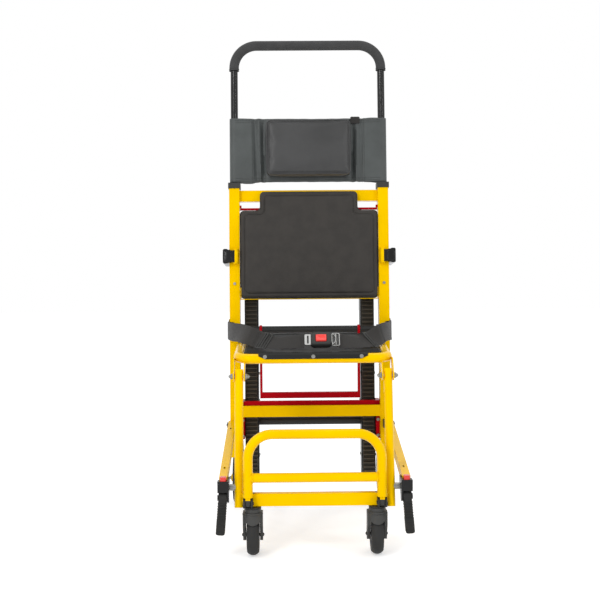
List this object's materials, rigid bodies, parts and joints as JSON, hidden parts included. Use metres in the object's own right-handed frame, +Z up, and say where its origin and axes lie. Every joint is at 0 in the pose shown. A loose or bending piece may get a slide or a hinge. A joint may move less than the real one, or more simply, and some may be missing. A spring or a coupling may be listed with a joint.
{
  "type": "stair climbing chair",
  "caption": "Folding transport chair on casters and rear wheels, with rubber tracks behind the back frame for stairs, telescopic push handle, head rest, lap belt and footrest.",
  "frame": {"origin": "on the floor at the middle of the footprint", "axes": "+Z up, +Y towards the back of the chair, +X to the right in the front view"},
  "size_m": [0.498, 0.646, 1.3657],
  "materials": {
    "yellow_frame": "glossy yellow powder coat",
    "red_link": "glossy red powder coat",
    "black_steel": "satin black paint",
    "gloss_black_tube": "gloss black paint",
    "black_plastic": "fine grained black moulding",
    "gloss_black_plastic": "smooth black moulding",
    "grip_rubber": "closed foam grip",
    "pad_foam": "moulded foam skin",
    "vinyl": "grained black vinyl",
    "sling_fabric": "coated woven sling",
    "webbing": "ribbed black webbing",
    "red_button": "smooth red moulding",
    "bright_steel": "bright zinc plated steel",
    "wheel_rubber": "dark grey tyre",
    "track_rubber": "ribbed rubber track"
  },
  "bodies": {
    "back_frame": {"upright_left": "yellow_frame", "upright_right": "yellow_frame", "upper_crossbar": "yellow_frame", "lower_crossbar": "yellow_frame", "upright_collars": "black_plastic", "rear_axle_brackets": "yellow_frame", "arm_hinge_brackets": "black_steel", "seat_pivot_bar": "black_steel", "track_carrier": "red_link", "track_pivot_shaft": "bright_steel", "back_panel": "black_plastic", "back_pad": "pad_foam", "frame_screws": "bright_steel", "head_sling": "sling_fabric", "head_cushion": "vinyl", "lift_handle_brackets": "yellow_frame", "battery_box": "black_plastic", "belt_anchors": "webbing"},
    "push_handle": {"handle_tube": "gloss_black_tube", "handle_grip": "grip_rubber"},
    "release_bail": {"release_bail": "red_link"},
    "lift_handle_left": {"lift_handle_left": "gloss_black_plastic"},
    "lift_handle_right": {"lift_handle_right": "gloss_black_plastic"},
    "seat": {"seat_tube": "yellow_frame", "seat_lugs": "black_steel", "seat_panel": "vinyl", "seat_screws": "bright_steel", "leg_brackets": "yellow_frame", "belt_strap_left": "webbing", "belt_strap_right": "webbing", "belt_adjusters": "bright_steel", "buckle_housing": "black_plastic", "latch_tongue": "bright_steel"},
    "buckle_button": {"buckle_button": "red_button"},
    "legs": {"leg_left": "yellow_frame", "leg_right": "yellow_frame", "front_crossbar": "yellow_frame", "footrest_hinges": "black_steel", "leg_pins": "bright_steel"},
    "footrest": {"footrest_loop": "yellow_frame"},
    "arm_left": {"arm_left": "yellow_frame", "grip_hinge_left": "black_plastic"},
    "arm_right": {"arm_right": "yellow_frame", "grip_hinge_right": "black_plastic"},
    "carry_grip_left": {"carry_grip_left": "grip_rubber"},
    "carry_grip_right": {"carry_grip_right": "grip_rubber"},
    "grip_button_left": {"grip_button_left": "red_button"},
    "grip_button_right": {"grip_button_right": "red_button"},
    "caster_fork_left": {"caster_fork_left": "black_plastic"},
    "caster_fork_right": {"caster_fork_right": "black_plastic"},
    "caster_wheel_left": {"caster_wheel_left": "wheel_rubber"},
    "caster_wheel_right": {"caster_wheel_right": "wheel_rubber"},
    "rear_wheel_left": {"rear_wheel_left": "wheel_rubber"},
    "rear_wheel_right": {"rear_wheel_right": "wheel_rubber"},
    "lock_link": {"lock_link": "red_link"},
    "track": {"track_chassis": "black_steel", "track_belts": "track_rubber", "drive_unit": "black_plastic"},
    "drive_sprockets": {"drive_sprockets": "bright_steel"},
    "lower_rollers": {"lower_rollers": "bright_steel"}
  },
  "joints": [
    {"name": "handle_slide", "type": "slide", "parent": "back_frame", "child": "push_handle", "axis": [0, 0.0958, 0.9954], "range_m": [-0.13, 0.12]},
    {"name": "bail_pull", "type": "hinge", "parent": "back_frame", "child": "release_bail", "pos_m": [0, 0.2242, 0.88472], "axis": [1, 0, 0], "range_deg": [0, 25]},
    {"name": "lift_handle_left_swing", "type": "hinge", "parent": "back_frame", "child": "lift_handle_left", "pos_m": [-0.212, 0.17669, 0.73558], "axis": [0, 0.0958, 0.9954], "range_deg": [0, 90]},
    {"name": "lift_handle_right_swing", "type": "hinge", "parent": "back_frame", "child": "lift_handle_right", "pos_m": [0.212, 0.17669, 0.73558], "axis": [0, -0.0958, -0.9954], "range_deg": [0, 90]},
    {"name": "seat_fold", "type": "hinge", "parent": "back_frame", "child": "seat", "pos_m": [0, 0.18717, 0.521], "axis": [-1, 0, 0], "range_deg": [0, 72], "deforming": ["belt_strap_left", "belt_strap_right"]},
    {"name": "buckle_press", "type": "slide", "parent": "seat", "child": "buckle_button", "axis": [0, 0.7071, -0.7071], "range_m": [0, 0.002], "stiffness_N_per_m": 300},
    {"name": "leg_fold", "type": "hinge", "parent": "seat", "child": "legs", "pos_m": [0, -0.22517, 0.439], "axis": [-1, 0, 0], "range_deg": [-72, 0]},
    {"name": "arm_left_fold", "type": "hinge", "parent": "back_frame", "child": "arm_left", "pos_m": [0, 0.12797, 0.254], "axis": [-1, 0, 0], "range_deg": [0, 72]},
    {"name": "arm_right_fold", "type": "hinge", "parent": "back_frame", "child": "arm_right", "pos_m": [0, 0.12797, 0.254], "axis": [-1, 0, 0], "range_deg": [0, 72]},
    {"name": "footrest_swing", "type": "hinge", "parent": "legs", "child": "footrest", "pos_m": [0, -0.311, 0.138], "axis": [1, 0, 0], "range_deg": [0, 95]},
    {"name": "carry_grip_left_swing", "type": "hinge", "parent": "arm_left", "child": "carry_grip_left", "pos_m": [-0.225, -0.308, 0.152], "axis": [-1, 0, 0], "range_deg": [0, 95]},
    {"name": "carry_grip_right_swing", "type": "hinge", "parent": "arm_right", "child": "carry_grip_right", "pos_m": [0.225, -0.308, 0.152], "axis": [-1, 0, 0], "range_deg": [0, 95]},
    {"name": "grip_button_left_press", "type": "slide", "parent": "arm_left", "child": "grip_button_left", "axis": [0, 0, -1], "range_m": [0, 0.003], "stiffness_N_per_m": 300},
    {"name": "grip_button_right_press", "type": "slide", "parent": "arm_right", "child": "grip_button_right", "axis": [0, 0, -1], "range_m": [0, 0.003], "stiffness_N_per_m": 300},
    {"name": "caster_left_swivel", "type": "hinge", "parent": "legs", "child": "caster_fork_left", "pos_m": [-0.1535, -0.288, 0.112], "axis": [0, 0, 1], "continuous": true},
    {"name": "caster_left_spin", "type": "hinge", "parent": "caster_fork_left", "child": "caster_wheel_left", "pos_m": [-0.1535, -0.271, 0.05], "axis": [1, 0, 0], "continuous": true},
    {"name": "rear_wheel_left_spin", "type": "hinge", "parent": "back_frame", "child": "rear_wheel_left", "pos_m": [-0.216, 0.248, 0.075], "axis": [1, 0, 0], "continuous": true},
    {"name": "caster_right_swivel", "type": "hinge", "parent": "legs", "child": "caster_fork_right", "pos_m": [0.1535, -0.288, 0.112], "axis": [0, 0, 1], "continuous": true},
    {"name": "caster_right_spin", "type": "hinge", "parent": "caster_fork_right", "child": "caster_wheel_right", "pos_m": [0.1535, -0.271, 0.05], "axis": [1, 0, 0], "continuous": true},
    {"name": "rear_wheel_right_spin", "type": "hinge", "parent": "back_frame", "child": "rear_wheel_right", "pos_m": [0.216, 0.248, 0.075], "axis": [1, 0, 0], "continuous": true},
    {"name": "link_swing", "type": "hinge", "parent": "back_frame", "child": "lock_link", "pos_m": [0, 0.18717, 0.521], "axis": [1, 0, 0], "range_deg": [0, 20]},
    {"name": "track_swing", "type": "hinge", "parent": "back_frame", "child": "track", "pos_m": [0, 0.23, 0.248], "axis": [-1, 0, 0], "range_deg": [0, 40]},
    {"name": "sprocket_spin", "type": "hinge", "parent": "track", "child": "drive_sprockets", "pos_m": [0, 0.27744, 0.74072], "axis": [1, 0, 0], "continuous": true},
    {"name": "roller_spin", "type": "hinge", "parent": "track", "child": "lower_rollers", "pos_m": [0, 0.21687, 0.11163], "axis": [1, 0, 0], "continuous": true}
  ],
  "couplings": [
    {"joint": "leg_fold", "follows": "seat_fold", "ratio": -1},
    {"joint": "arm_left_fold", "follows": "seat_fold", "ratio": 1},
    {"joint": "arm_right_fold", "follows": "seat_fold", "ratio": 1},
    {"joint": "roller_spin", "follows": "sprocket_spin", "ratio": 1}
  ]
}
